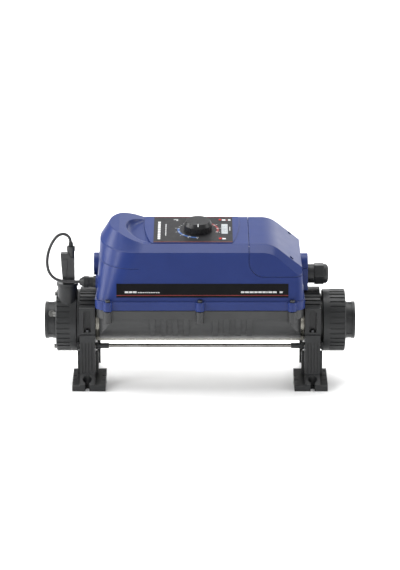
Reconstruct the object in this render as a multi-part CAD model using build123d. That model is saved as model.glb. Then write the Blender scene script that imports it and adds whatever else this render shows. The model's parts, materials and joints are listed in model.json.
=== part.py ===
from build123d import *
import os
from math import atan, cos, degrees, radians, sin, tan

os.makedirs("parts", exist_ok=True)

# Driving dimensions, in millimetres. X runs along the pipe, the front faces -Y, the feet stand on z = 0.
pipe_z = 94.0            # height of the pipe axis
half_length = 245.0      # from the middle to the rim of a pipe tail
tube_r, tube_wall = 33.0, 2.0
tube_half = 180.0
wall = 3.0               # moulded covers
gap = 0.3                # running gap between separate bodies
seam = 0.6               # visible joint between the two blue covers

# End clamps and feet
clamp_in, clamp_out = 164.0, 189.0   # distance of a clamp's two faces from the middle
clamp_r, clamp_bore = 53.0, 45.1
ear_front, ear_top = 58.0, 34.0
parting = -8.6           # height of the clamp's parting plane, from the pipe axis
foot_in, foot_out = 148.0, 200.0
foot_half_depth = 80.0
rod_y, rod_z, rod_r = 50.0, 66.0, 3.0

# Unions
nut_in, nut_out, nut_r = 193.0, 229.0, 49.3
stub_r, stub_end = 42.0, 214.0
tail_r, socket_r, socket_depth, water_r = 29.5, 25.0, 23.0, 22.0
ribs_round = 36
spigot_end = -221.5      # inner end of the inlet tail
collar_screw_r = 42.5

# Lower casing
casing_half, casing_depth, casing_top = 158.0, 76.0, 130.0
casing_mid, belly_drop = 116.0, 48.0                 # the belly's widest level, and how far it hangs below
gasket = 1.2

# Blue covers
flange_z = casing_top + gasket
flange_half, flange_depth, flange_top = 163.7, 80.0, 145.0
tilt = 10.0              # the control panel leans towards the front
panel_mid_z = 240.3      # height of the panel plane above the middle of the base
shoulder_z = 233.0       # height where the drafted walls end, at the middle
# half length, half depth, left corner x and y, right corner
base_plan = (163.0, 79.0, 24.0, 24.0, 16.0)
shoulder_plan = (156.5, 68.0, 62.0, 66.0, 15.0)
shoulder_half, shoulder_depth, shoulder_lx = shoulder_plan[:3]
wall_reach = 1.36        # the walls' loft goes on above the shoulder, and the roof cuts it
lean = tan(radians(tilt))
band_in, band_down = 16.0, 8.0       # sloped band round the top edge
band = band_down / band_in
fall_x, fall_angle, fall_r = 111.0, 38.0, 40.0
split_x, split_z, split_r = 76.0, 183.0, 24.0
dish_x, dish_floor_r, dish_drop = -62.0, 50.0, 2.0
collar_start, collar_right, collar_rise = -88.0, -80.0, 0.33
crown_x, crown_level = -127.0, 12.8
pad_x, pad_y, pad_rx, pad_ry, pad_h = -13.0, 30.0, 75.0, 150.0, 1.0
label_x0, label_x1, label_depth, label_h = -72.5, 51.0, 50.0, 0.4
boss_x = (-143.0, 0.0, 143.0)
boss_y, boss_r = 81.5, 7.0

# Dial, flow switch, glands
window_x, window_y, lamp_x, lamp_y = 38.6, 2.0, 31.5, (-37.0, 37.0)
shelf_z = 152.0
dial_x, dial_y, dial_r, dial_h = -3.0, -1.0, 21.8, 15.2
port_x, port_y, port_r, port_top = -208.5, -20.0, 15.5, 156.0
gland_z, boss_face = 170.0, 169.6
small_gland_y, small_gland_z, small_seat = -34.0, 165.6, -163.0
cable_r = 2.4
small_hex_x, small_nut_x = -174.2, -182.0            # outer ends of the small gland's body and nut
fall_screw_x, fall_screw_y = 142.5, 47.0             # terminal cover screws, on the sloping top
fall_mid_z = panel_mid_z - (fall_screw_x - fall_x) * tan(radians(fall_angle))
strip_grow = 0.6         # thickness of the strip on the front wall
board_top = -20.3        # underside of the panel's parts, below the panel plane
pivot_z = 110.0          # the paddle's pin
plug_x, plug_low, plug_top = -202.3, port_top + 5.1, 219.0
cable_points = [
    (plug_x, port_y, plug_top), (plug_x, -20.0, 229.0), (-206.5, -20.4, 236.9), (-215.0, -21.2, 240.0),
    (-223.3, -22.4, 236.6), (-231.3, -24.2, 226.4), (-237.5, -26.4, 211.5), (-239.8, -28.6, 195.6),
    (-237.3, -31.0, 181.0), (-229.0, -33.2, 170.6), (-216.0, -34.4, 166.4), (-202.0, -34.5, 165.3),
    (-189.0, small_gland_y, small_gland_z),
]

# Inside
seat_z = pipe_z + tube_r + 5                         # seat of the element's flange
hairpin_y, element_r = 9.0, 3.6
post_x = ((1, 5), (1, -12), (-1, -5), (-1, 12))      # side of the element, then x of a cold end
chassis_z = 143.0
chassis_posts = [(x, y) for x in (-125, 125) for y in (-50, 50)]


def save(name, shape):
    """Writes one named piece."""
    export_step(shape, f"parts/{name}.step")


def cyl_x(radius, x0, x1, y=0.0, z=pipe_z):
    return Pos((x0 + x1) / 2, y, z) * Rot(0, 90, 0) * Cylinder(radius, abs(x1 - x0))


def ring_x(outer, inner, x0, x1, y=0.0, z=pipe_z):
    return cyl_x(outer, x0, x1, y, z) - cyl_x(inner, min(x0, x1) - 1, max(x0, x1) + 1, y, z)


def cyl_z(radius, x, y, z0, z1):
    return Pos(x, y, (z0 + z1) / 2) * Cylinder(radius, z1 - z0)


def block(x0, x1, y0, y1, z0, z1):
    return Pos((x0 + x1) / 2, (y0 + y1) / 2, (z0 + z1) / 2) * Box(x1 - x0, y1 - y0, z1 - z0)


def hex_x(across, x0, x1, y, z):
    """A hexagon bar along X, by its size across the flats."""
    shape = extrude(Plane.YZ * RegularPolygon(across / 2, 6, major_radius=False), x1 - x0)
    return Pos(x0, y, z) * shape


def side_profile(points, x0, x1):
    """A closed outline in Y and Z, extruded along X."""
    return Pos(x0, 0, 0) * extrude(Plane.YZ * make_face(Polyline(*points, close=True)), x1 - x0)


def mirrored(shape):
    return mirror(shape, about=Plane.YZ)


def plan_outline(half, depth, left_x, left_y, right, z):
    """The cover's outline at one height: elliptical left corners, round right corners."""
    edges = [
        Line((-half + left_x, -depth), (half - right, -depth)),
        CenterArc((half - right, -depth + right), right, -90, 90),
        Line((half, -depth + right), (half, depth - right)),
        CenterArc((half - right, depth - right), right, 0, 90),
        Line((half - right, depth), (-half + left_x, depth)),
        EllipticalCenterArc((-half + left_x, depth - left_y), left_x, left_y, 90, arc_size=90),
        Line((-half, depth - left_y), (-half, -depth + left_y)),
        EllipticalCenterArc((-half + left_x, -depth + left_y), left_x, left_y, 180, arc_size=90),
    ]
    return Pos(0, 0, z) * Wire(edges)


def wall_outline(share, grow):
    """The walls' outline at a share of the way from base to shoulder, leaning more as it rises."""
    half, depth, left_x, left_y, right = [
        low + share * (high - low) + grow for low, high in zip(base_plan, shoulder_plan)
    ]
    slope = share * lean * (shoulder_plan[1] + grow) / depth
    spread = (1 + slope**2) ** 0.5
    outline = plan_outline(half, depth * spread, left_x, left_y * spread, right, 0)
    return Pos(0, 0, flange_z + share * (shoulder_z - flange_z)) * Rot(degrees(atan(slope)), 0, 0) * outline


def cover_walls(grow):
    """Drafted walls: small corners at the base that swell into a round left end towards the top."""
    return Solid.make_loft([wall_outline(0, grow), wall_outline(wall_reach, grow)], ruled=True)


def sheared(face, step, start):
    """A face extruded both ways along a slanting step."""
    whole = Vector(*step)
    moved = Pos(*(Vector(*start) - whole)) * face
    return extrude(moved, amount=2 * whole.length, dir=whole.normalized())


def roof(drop):
    """All below the roof: a leaning plane, a sloped band at front and back, and the fall at the right."""
    z = panel_mid_z - drop
    low = z - (400 - fall_x) * tan(radians(fall_angle))
    outline = make_face(Polyline((-300, -300), (400, -300), (400, low), (fall_x, z), (-300, z), close=True))
    bend = [v for v in outline.vertices() if abs(v.X - fall_x) < 1e-6 and abs(v.Y - z) < 1e-6]
    flat = Plane.XZ * fillet(bend, fall_r)
    edge = shoulder_depth - band_in - 0.4 * drop
    plane = sheared(flat, (0, 200, 200 * lean), (0, 0, 0))
    front = sheared(flat, (0, 200, 200 * (lean + band)), (0, -edge, -edge * lean))
    back = sheared(flat, (0, 200, 200 * (lean - band)), (0, edge, edge * lean))
    return plane & front & back


def leaning(wire, level=0.0):
    """Puts a flat outline on the panel plane, at a level above it."""
    return Pos(0, 0, panel_mid_z + level) * Rot(tilt, 0, 0) * wire


def end_outline(inset, right=0.0):
    """The round left end of the top, closed off at the right."""
    x0 = -shoulder_half + shoulder_lx
    rx, ry = shoulder_lx - inset, (shoulder_depth - inset) / cos(radians(tilt))
    return Wire([
        Line((x0, -ry), (right, -ry)),
        Line((right, -ry), (right, ry)),
        Line((right, ry), (x0, ry)),
        EllipticalCenterArc((x0, 0), rx, ry, 90, arc_size=180),
    ])


def left_band(drop):
    """What the sloped band takes off the round left end."""
    times = 4
    wide = leaning(end_outline(band_in * (1 - times)), -band_down * times - drop)
    top = leaning(end_outline(band_in + 0.4 * drop), -drop)
    cone = Solid.make_loft([wide, top], ruled=True)
    x0 = -shoulder_half + shoulder_lx
    above = block(-200, x0, -120, 120, -band_down * times, 60)
    return Pos(0, 0, panel_mid_z - drop) * Rot(tilt, 0, 0) * above - cone


def rising_cap(inset):
    """The collar's top face: the panel's left end, lifted more and more to the left."""
    outline = leaning(end_outline(inset, collar_right), -20)
    prism = extrude(make_face(outline), 90, dir=(0, 0, 1))
    far = (-200, panel_mid_z + collar_rise * (200 + collar_start))
    near = (0, panel_mid_z + collar_rise * collar_start)
    under = Plane.XZ * make_face(Polyline(far, near, (0, 0), (-200, 0), close=True))
    lifted = prism & sheared(under, (0, 200, 200 * lean), (0, 0, 0))
    return lifted.faces().sort_by(Axis.Z)[-1].outer_wire(), lifted


def collar():
    """The raised rim round the left end: the sloped band steepens as it goes round."""
    top, core = rising_cap(band_in)
    foot_line = leaning(end_outline(0.2, collar_right), -band_down)
    sides = Solid.make_loft([foot_line, top], ruled=True)
    return (sides + core) & collar_limit()


def collar_limit():
    """The collar's crown levels off towards its far end."""
    points = [(-200, 0), (0, 0), (0, 400), (crown_x + 1, 400), (crown_x, panel_mid_z + crown_level)]
    points.append((-200, panel_mid_z + crown_level + 0.09 * (200 + crown_x)))
    under = Plane.XZ * make_face(Polyline(*points, close=True))
    return sheared(under, (0, 200, 200 * lean), (0, 0, 0))


def dish(radius_grow, floor_level):
    """The round hollow in the collar and the panel's left end, with sloping sides."""
    low_r, high_r, height = dish_floor_r + radius_grow, dish_floor_r + radius_grow + 14, 34
    cone = Solid.make_cone(low_r, high_r, height)
    cone = fillet(cone.edges().sort_by(Axis.Z)[0], 9)
    cone = Pos(0, 0, panel_mid_z) * Rot(tilt, 0, 0) * Pos(dish_x, -1, floor_level) * cone
    return cone & block(-200, dish_x, -150, 150, 0, 400)


def cover_solid(grow, drop):
    """The whole blue outside, or the hollow inside it, without the collar."""
    return (cover_walls(grow) & roof(drop)) - left_band(drop)


def panel_prism(face, low, high):
    """A prism standing on the panel plane, between two levels above it."""
    return Pos(0, 0, panel_mid_z) * Rot(tilt, 0, 0) * Pos(0, 0, low) * extrude(face, high - low)


def split_tool(grow):
    """The corner of the cover that comes off as the terminal cover."""
    x, z = split_x - grow, split_z - grow
    outline = make_face(Polyline((x, z), (260, z), (260, 330), (x, 330), close=True))
    turn = [v for v in outline.vertices() if v.X < 100 and v.Y < 200]
    flat = Plane.XZ * fillet(turn, split_r + grow)
    return extrude(flat, 120, both=True)


def upright_pad(width, low, high, x0, x1):
    """A raised pad on an end wall, with round ends."""
    r = width / 2
    ends = cyl_x(r, x0, x1, 0, low + r) + cyl_x(r, x0, x1, 0, high - r)
    return block(x0, x1, -r, r, low + r, high - r) + ends


def gland_boss():
    """The tall pad behind the mains gland, the blind pad at the left, and the seat of the small gland."""
    right = upright_pad(38, 160, 203, 150, boss_face)
    right = right + block(150, boss_face, -19, 19, pipe_z + clamp_r + gap + 0.3, 184)
    right = right + block(150, flange_half - 0.2, -19, 19, flange_top - 4, 160)
    left = upright_pad(34, 168, 204, -167, -150)
    return right + left + cyl_x(11, small_seat, -150, small_gland_y, small_gland_z)


def fall_place(side):
    """Frame on the sloping top at one of its screws, Z out of the surface."""
    z = fall_mid_z + lean * side * fall_screw_y
    return Pos(fall_screw_x, side * fall_screw_y, z) * Rot(tilt, fall_angle, 0)


def covers():
    outer = cover_solid(0, 0) + collar()
    inner = cover_solid(-wall, wall) - dish(wall, -dish_drop - wall)
    shell = outer - inner
    lip = extrude(make_face(plan_outline(flange_half, flange_depth, 22, 22, 20, flange_z)), 13.8)
    hole = extrude(make_face(plan_outline(160, 76, 21, 21, 14, flange_z - 1)), 16)
    shell = shell + (lip - hole)
    for x in boss_x:
        for side in (-1, 1):
            boss = cyl_z(boss_r, x, side * boss_y, flange_z, flange_top)
            shell = shell + boss - cyl_z(2.6, x, side * boss_y, flange_z - 1, flange_top + 1)
    pad_face = Pos(pad_x, pad_y) * Ellipse(pad_rx, pad_ry)
    pad = panel_prism(pad_face & Rectangle(400, 2 * (shoulder_depth - band_in)), -2.5, pad_h)
    shell = shell - dish(0, -dish_drop) + pad
    shell = shell - panel_prism(Pos(dial_x, dial_y) * Circle(4.0), -10, 10)
    shell = shell - panel_prism(Pos(window_x, window_y) * Rectangle(10, 38), -10, 10)
    for y in lamp_y:
        shell = shell - panel_prism(Pos(lamp_x, y) * Circle(2.2), -10, 10)
    shell = shell + (gland_boss() - inner)
    shell = shell - cyl_x(9.0, 150, 175, 0, gland_z)
    shell = shell - cyl_x(5.2, -170, -150, small_gland_y, small_gland_z)
    main = shell - split_tool(seam / 2)
    shelf = block(split_x - 5, 162, -80, 80, shelf_z - 3, shelf_z) & inner
    partition = block(split_x - 5, split_x - 2, -80, 80, shelf_z - 1, 300) & inner
    main = main + shelf + partition
    service = shell & split_tool(-seam / 2)
    for side in (-1, 1):
        place = fall_place(side)
        lug = place * Pos(0, 0, -8) * Cylinder(6, 14) & outer
        service = service + lug - place * Pos(0, 0, -4) * Cylinder(3.6, 14)
        service = service - place * Pos(0, 0, -10) * Cylinder(2.1, 20)
        post = cyl_z(5, fall_screw_x - 12, side * fall_screw_y, shelf_z - 1, fall_mid_z)
        under_lug = place * Pos(0, 0, -215.4) * Box(400, 400, 400)
        main = main + (post & under_lug) - place * Pos(0, 0, -25) * Cylinder(1.5, 24)
    return main, service


# ---------------------------------------------------------------- lower casing and tube

def casing_profile(grow):
    """The casing's cross-section: an upright rim over a rounded belly."""
    a, b = casing_depth + grow, belly_drop + grow
    belly = Pos(0, casing_mid) * Ellipse(a, b) & Pos(0, casing_mid - 100) * Rectangle(400, 200)
    rim = Pos(0, (casing_mid + casing_top) / 2) * Rectangle(2 * a, casing_top - casing_mid)
    return belly + rim


def casing_body(grow, bottom=50.0):
    half, depth = casing_half + grow, casing_depth + grow
    length = Pos(-half, 0, 0) * extrude(Plane.YZ * casing_profile(grow), 2 * half)
    plan = extrude(make_face(plan_outline(half, depth + 0.01, 26 + grow, 26 + grow, 26 + grow, bottom)), 90)
    return length & plan


def lower_casing():
    rim = extrude(make_face(plan_outline(flange_half - 2, 78.5, 24, 24, 22, casing_top - 14)), 14)
    shell = casing_body(0) + rim
    for group in ((-78, -17), (19.5, 81.5)):
        step = (group[1] - group[0]) / 7
        for i in range(4):
            rib = block(group[0] + 2 * i * step, group[0] + (2 * i + 1) * step, -90, 0, 84, casing_top - 14)
            shell = shell + (rib & casing_body(2.0))
    hollow = casing_body(-wall) + block(-150, 150, -70, 70, casing_top - 16, casing_top + 1)
    shell = shell - hollow - cyl_x(tube_r + 0.3, -200, 200)
    for x in boss_x:
        for side in (-1, 1):
            inside = hollow & cyl_z(6.3, x, side * boss_y, 100, 140)
            shell = shell + cyl_z(6.2, x, side * boss_y, 112, casing_top) - inside
    for x in boss_x:
        for side in (-1, 1):
            shell = shell - cyl_z(1.8, x, side * boss_y, 116, casing_top + 1)
    return shell - cyl_x(tube_r + 0.3, -200, 200)


def cover_gasket():
    ring = extrude(make_face(plan_outline(flange_half - 2, 78, 22, 22, 20, casing_top)), gasket)
    return ring - extrude(make_face(plan_outline(160, 75, 21, 21, 14, casing_top - 1)), 5)


def cover_screws():
    """Six socket screws that hold the cover, gasket and casing together."""
    screws = []
    for x in boss_x:
        for side in (-1, 1):
            shank = cyl_z(1.75, x, side * boss_y, 118, flange_top)
            head = cyl_z(3.8, x, side * boss_y, flange_top, flange_top + 3.6)
            socket = Pos(x, side * boss_y, flange_top + 2.2) * extrude(RegularPolygon(1.8, 6), 3)
            screws.append(shank + head - socket)
    return Compound(screws)


def service_screws():
    screws = []
    for side in (-1, 1):
        shank = Pos(0, 0, -20.9) * Cylinder(1.45, 19.8)
        head = Pos(0, 0, -9.4) * Cylinder(3.3, 3.2) - Pos(0, 0, -7.8) * (Box(5, 0.9, 2) + Box(0.9, 5, 2))
        screws.append(fall_place(side) * (shank + head))
    return Compound(screws)


def tube():
    """The water chamber: a thin metal tube with a flat seat on top for the element flange."""
    body = ring_x(tube_r, tube_r - tube_wall, -tube_half, tube_half)
    top = pipe_z + tube_r
    neck = cyl_z(24, 0, 0, pipe_z + 22, top + 5) + cyl_z(28, 0, 0, top + 1, top + 5)
    pocket = cyl_z(7, 90, 0, pipe_z + 28, top + 6)
    body = body + ((neck + pocket) - cyl_x(tube_r - 0.5, -150, 150))
    body = body - cyl_z(21, 0, 0, pipe_z, top + 10) - cyl_z(4.55, 90, 0, pipe_z, top + 10)
    return body


def element_path(side):
    """One hairpin of the heating element: down from the flange, along the tube, and back."""
    y, low, high = side * hairpin_y, pipe_z - 12.0, pipe_z + 10.0
    far = side * 140
    points = [(side * 5, y, seat_z + 16), (side * 5, y, high), (far, y, high), (far, y, low)]
    points += [(-side * 12, y, low), (-side * 12, y, seat_z + 16)]
    return FilletPolyline(*points, radius=[10.9, 10.9, 10.9, 10.9])


def heating_element():
    rods = []
    for side in (-1, 1):
        path = element_path(side)
        rods.append(sweep(Plane(origin=path @ 0, z_dir=path % 0) * Circle(element_r), path=path))
    return Compound(rods)


def element_flange():
    plate = cyl_z(28, 0, 0, seat_z + 1.6, seat_z + 7)
    for side, x in post_x:
        plate = plate - cyl_z(element_r + 0.05, x, side * hairpin_y, seat_z, seat_z + 20)
    for i in range(4):
        a = radians(45 + 90 * i)
        plate = plate - cyl_z(2.1, 24 * cos(a), 24 * sin(a), seat_z, seat_z + 20)
    return plate


def element_screws():
    screws = []
    for i in range(4):
        a = radians(45 + 90 * i)
        x, y = 24 * cos(a), 24 * sin(a)
        screws.append(cyl_z(2.0, x, y, seat_z + 0.2, seat_z + 7) + cyl_z(3.4, x, y, seat_z + 7, seat_z + 9.8))
    return Compound(screws)


def element_terminals():
    """Screw posts on the element's four cold ends."""
    posts = []
    for side, x in post_x:
        y = side * hairpin_y
        collar_nut = cyl_z(3.6, x, y, seat_z + 18, seat_z + 20.5)
        posts.append(cyl_z(2.0, x, y, seat_z + 16, seat_z + 24) + collar_nut)
    return Compound(posts)


# ---------------------------------------------------------------- end clamps and feet

def clamp_band():
    """The upper half of an end clamp, with grooves over its back and an ear at front and back."""
    x0, x1 = clamp_in, clamp_out
    upper = block(x0, x1, -80, 80, pipe_z + parting + 0.1, 200)
    body = cyl_x(clamp_r, x0, x1)
    for side in (-1, 1):
        y = sorted((side * 30, side * ear_front))
        body = body + block(x0, x1, y[0], y[1], pipe_z + parting, pipe_z + ear_top)
    body = (body & upper) - cyl_x(clamp_bore, x0 - 1, x1 + 1)
    for i in range(-6, 7):
        groove = Pos((x0 + x1) / 2, 0, clamp_r) * Box(30, 2.4, 4.4)
        body = body - Pos(0, 0, pipe_z) * Rot(8 * i, 0, 0) * groove
    for side in (-1, 1):
        slot = slot_xz(11.0, 0, ear_top - 3) & block(-60, 60, -60, 60, -4.4, 60)
        body = body - Pos((x0 + x1) / 2, side * ear_front, pipe_z) * slot
        body = body - cyl_z(1.8, (x0 + x1) / 2, side * (ear_front - 3.4), pipe_z - 20, pipe_z)
    return body


def slot_xz(width, low, high):
    """A round-topped pocket in a front face, 7 mm deep either way."""
    r = width / 2
    shape = block(-r, r, -7, 7, low - 10, high - r)
    return shape + Pos(0, 0, high - r) * Rot(90, 0, 0) * Cylinder(r, 14)


def foot_outline():
    """Cross-section of a foot: two legs with an arch between them, and a sloping toe each way."""
    leg = [(60, pipe_z + parting - 0.1), (60, 22), (foot_half_depth, 10), (foot_half_depth, 0)]
    arch = [(34, 0), (34, 9), (38, 18), (36, 34), (24, 42), (0, 46)]
    right = leg + arch
    return right + [(-y, z) for y, z in reversed(right[:-1])]


def foot():
    x0, x1 = clamp_in, clamp_out
    mid = (x0 + x1) / 2
    saddle = ring_x(clamp_r, clamp_bore, x0, x1) & block(x0, x1, -80, 80, 0, pipe_z + parting - 0.1)
    web = side_profile(foot_outline(), x0 + 0.5, x1 - 0.5) + saddle
    pads = side_profile([(-80, 0), (-80, 8), (-78, 9.5), (-22, 20), (-22, 0)], foot_in, foot_out)
    pads = pads - block(100, 250, -34, -20, -1, 9)
    for x, turn, end in ((foot_in, -42, Align.MAX), (foot_out, 42, Align.MIN)):
        pads = pads - Pos(x, 0, 8) * Rot(0, turn, 0) * Box(40, 200, 40, align=(end, Align.CENTER, Align.MIN))
        for y in (-31, -46, -61):
            pads = pads - Pos(x, y, 14) * Box(13, 2.0, 14)
    body = web + pads
    for side in (-1, 1):
        y = sorted((side * 34, side * 40))
        body = body + block(mid - 16.5, mid + 16.5, y[0], y[1], 12, pipe_z + parting - 32)
        for dx in (-7.5, -2.5, 2.5, 7.5):
            body = body - block(mid + dx - 1.1, mid + dx + 1.1, *sorted((side * 58.8, side * 70)), 24, 73)
        slot = block(mid - 3.25, mid + 3.25, *sorted((side * 69, side * 90)), -1, 40)
        slot = slot + cyl_z(3.25, mid, side * 69, -1, 40)
        body = body - slot - (cyl_z(7.0, mid, side * 69, 6.5, 40) & block(100, 250, -90, 64, 0, 60))
        body = body - cyl_z(1.8, mid, side * (ear_front - 3.4), 62, 100)
        body = body - cyl_x(rod_r + 0.1, x0 - 1, x1 + 1, side * rod_y, rod_z)
    return body - cyl_x(clamp_bore, x0 - 1, x1 + 1) - clamp_space()


def clamp_space():
    """Space over the saddle that the clamp band fills."""
    return block(120, 260, -90, 90, pipe_z + parting - 0.1, 200)


def clamp_screws():
    """The four screws that pull the clamp bands down on the feet, heads in the ears' pockets."""
    screws = []
    x = (clamp_in + clamp_out) / 2
    for side in (-1, 1):
        y = side * (ear_front - 3.4)
        cross = Pos(x, y, pipe_z - 0.8) * (Box(5, 0.8, 2) + Box(0.8, 5, 2))
        head = cyl_z(3.1, x, y, pipe_z - 4.3, pipe_z - 0.8) - cross
        screws.append(head + cyl_z(1.7, x, y, 70, pipe_z - 4.3))
    return Compound(screws + [mirrored(s) for s in screws])


def tie_rods():
    return Compound([cyl_x(rod_r, -192, 192, side * rod_y, rod_z) for side in (-1, 1)])


def rod_nuts():
    """Sleeve nuts inside the clamps and hexagon nuts outside them."""
    nuts = []
    for side in (-1, 1):
        y = side * rod_y
        sleeve = hex_x(10, clamp_in - 5, clamp_in - 0.2, y, rod_z)
        sleeve = sleeve + cyl_x(4.2, clamp_in - 21, clamp_in - 5, y, rod_z)
        outer = hex_x(10, clamp_out + 0.2, clamp_out + 4, y, rod_z)
        for nut in (sleeve, outer):
            nut = nut - cyl_x(rod_r + 0.02, 100, 220, y, rod_z)
            nuts += [nut, mirrored(nut)]
    return Compound(nuts)


# ---------------------------------------------------------------- unions

def ribbed_shell(x0, x1, ribs_from, ribs_to):
    """A round grip with rounded grooves along it."""
    body = cyl_x(nut_r, x0, x1)
    body = chamfer(body.edges().filter_by(GeomType.CIRCLE), 1.2)
    length = ribs_to - ribs_from - 3
    round_end = Cylinder(1.5, 2.4)
    groove = Box(length, 3.0, 2.4) + Pos(length / 2, 0, 0) * round_end + Pos(-length / 2, 0, 0) * round_end
    groove = Pos((ribs_from + ribs_to) / 2, 0, nut_r) * groove
    cuts = [Pos(0, 0, pipe_z) * Rot(360 / ribs_round * i, 0, 0) * groove for i in range(ribs_round)]
    return body - cuts


def end_adaptor():
    """Joins the tube to the right union: a socket in the clamp and a threaded stub outside it."""
    body = cyl_x(45.0, clamp_in + 0.2, clamp_out) + cyl_x(stub_r, clamp_out, stub_end)
    body = body - cyl_x(tube_r + 0.1, clamp_in - 1, tube_half + 0.2) - cyl_x(30, tube_half, stub_end + 1)
    body = body - ring_x(36.2, tube_r - 1, 169, 173.4)
    return body - ring_x(38.6, 34.4, stub_end - 3.6, stub_end + 1)


def inlet_adaptor():
    """Joins the tube to the left collar: a socket in the clamp and a flat flange outside it."""
    body = cyl_x(45.0, -clamp_in - 0.2, -clamp_out) + cyl_x(nut_r - 0.3, -clamp_out - 0.3, -nut_in)
    body = body + cyl_x(45.0, -clamp_out - 0.4, -clamp_out)
    body = body - cyl_x(tube_r + 0.1, -clamp_in + 1, -tube_half - 0.2) - cyl_x(30, -tube_half, -nut_in - 1)
    body = body - ring_x(36.2, tube_r - 1, -169, -173.4)
    for y, z in collar_screw_places():
        body = body - cyl_x(1.9, -clamp_out, -nut_in - 1, y, z)
    return body


def collar_screw_places():
    """Y and Z of the collar's four screws; the front upper one clears the flow switch's port."""
    turns = [radians(63 + 90 * i) for i in range(4)]
    return [(collar_screw_r * cos(a), pipe_z + collar_screw_r * sin(a)) for a in turns]


def tube_seals():
    seals = [Pos(s * 171.2, 0, pipe_z) * Rot(0, 90, 0) * Torus(34.6, 1.55) for s in (-1, 1)]
    return Compound(seals)


def union_seal():
    return Pos(stub_end - 1.7, 0, pipe_z) * Rot(0, 90, 0) * Torus(36.5, 1.8)


def tail(inner_end):
    """A pipe tail: a sleeve that narrows outside the union, a rim, gussets, and the pipe's socket."""
    neck = tail_r - 0.8
    body = cyl_x(tail_r, inner_end, nut_out + 1) + cyl_x(neck, nut_out, half_length)
    body = body + cyl_x(tail_r, half_length - 5, half_length)
    cone = Solid.make_cone(tail_r, neck, 5)
    body = body + Pos(nut_out + 1, 0, pipe_z) * Rot(0, 90, 0) * cone
    for i in range(6):
        gusset = Pos(nut_out + 6.5, 0, tail_r - 1) * Box(13, 2.4, 1.9)
        body = body + Pos(0, 0, pipe_z) * Rot(60 * i + 5, 0, 0) * gusset
    body = body - cyl_x(socket_r, half_length - socket_depth, half_length + 1)
    return body - cyl_x(water_r, 150, 260)


def outlet_tail():
    """The right tail, with the flange that the union nut pulls against the seal."""
    flange = cyl_x(stub_r - 0.2, stub_end + gap, stub_end + 7.3) - cyl_x(water_r, 150, 260)
    return tail(stub_end + gap) + flange


def inlet_tail():
    """The left tail, a spigot cemented into the collar, with a pocket for its plug."""
    return mirrored(tail(-spigot_end)) - tail_plug_shape()


def union_nut():
    body = ribbed_shell(nut_in, nut_out, 204, 227.5)
    body = body - cyl_x(stub_r + gap + 0.1, nut_in - 1, stub_end + 7.8)
    return body - cyl_x(tail_r + 0.5, stub_end, nut_out + 1)


def inlet_collar():
    """The ribbed inlet collar, with an upright port for the flow switch."""
    x0, x1 = -nut_out + 2.5, -nut_in - 0.2
    body = mirrored(ribbed_shell(-x1, -x0, 204, 225))
    port = cyl_z(port_r, port_x, port_y, pipe_z + 20, port_top)
    body = body + (port - cyl_x(30, x0, x1)) - cyl_x(30, spigot_end, x1 + 1)
    body = body - cyl_x(tail_r + 0.05, x0 - 1, spigot_end)
    body = body - cyl_z(11.2, port_x, port_y, pipe_z, port_top + 1)
    for y, z in collar_screw_places():
        body = body - cyl_x(1.9, x0 - 1, x1 + 1, y, z)
    return body


def collar_screws():
    x0 = -nut_out + 2.4
    screws = []
    for y, z in collar_screw_places():
        head = cyl_x(3.6, x0 - 4.2, x0, y, z) - hex_x(3.4, x0 - 5, x0 - 2, y, z)
        screws.append(head + cyl_x(1.75, x0, -clamp_out - 0.5, y, z))
    return Compound(screws)


def plug_place():
    """Frame on the front of the inlet tail, above the middle, Z out of the tail."""
    return Pos(-233.5, 0, pipe_z) * Rot(90 - 34, 0, 0) * Pos(0, 0, tail_r)


def tail_plug_shape():
    return plug_place() * Cylinder(5.2, 4.4)


def tail_plug():
    """A small round plug in the front of the inlet tail, with a slot."""
    return tail_plug_shape() - plug_place() * Pos(0, 0, 2.2) * (Cylinder(3.6, 1.2) - Cylinder(2.2, 1.2))


# ---------------------------------------------------------------- control panel

def control_label():
    """The thin printed overlay on the panel."""
    middle = (label_x0 + label_x1) / 2
    outline = Pos(middle, 0) * Rectangle(label_x1 - label_x0, 2 * label_depth)
    sheet = panel_prism(outline, pad_h, pad_h + label_h)
    sheet = sheet - panel_prism(Pos(dial_x, dial_y) * Circle(4.0), -10, 10)
    sheet = sheet - panel_prism(Pos(window_x, window_y) * Rectangle(10, 38), -10, 10)
    for y in lamp_y:
        sheet = sheet - panel_prism(Pos(lamp_x, y) * Circle(2.2), -10, 10)
    return sheet


def display_window():
    return panel_prism(Pos(window_x, window_y) * Rectangle(9.8, 37.8), -4, pad_h + label_h - 0.1)


def indicator_lamps():
    top = pad_h + label_h + 0.8
    return Compound([panel_prism(Pos(lamp_x, y) * Circle(2.1), board_top, top) for y in lamp_y])


def dial_knob():
    """A bevelled knob with a pointer groove, blind-bored for its shaft."""
    base = pad_h + label_h + 0.4
    body = panel_prism(Circle(dial_r), base, base + 9.5)
    cone = Solid.make_cone(dial_r, dial_r - 3.2, dial_h - 9.5)
    body = body + Pos(0, 0, panel_mid_z) * Rot(tilt, 0, 0) * Pos(0, 0, base + 9.5) * cone
    body = body - panel_prism(Circle(3.0), base - 1, base + 11)
    pointer = panel_prism(Pos(0, -dial_r + 4) * Rectangle(1.6, 14), base + dial_h - 0.7, base + dial_h + 2)
    body = body - pointer
    for i in range(24):
        a = 15 * i
        flute = panel_prism(Rot(0, 0, a) * Pos(0, -dial_r - 0.5) * Circle(1.1), base + 1, base + 9)
        body = body - flute
    return on_dial(body)


def on_dial(shape):
    """Moves something built round the panel's middle to the dial's axis."""
    lean_y = dial_y * cos(radians(tilt))
    return Pos(dial_x, lean_y, dial_y * sin(radians(tilt))) * shape


def dial_shaft():
    return on_dial(panel_prism(Circle(2.98), -17, pad_h + label_h + 11.2))


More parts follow.
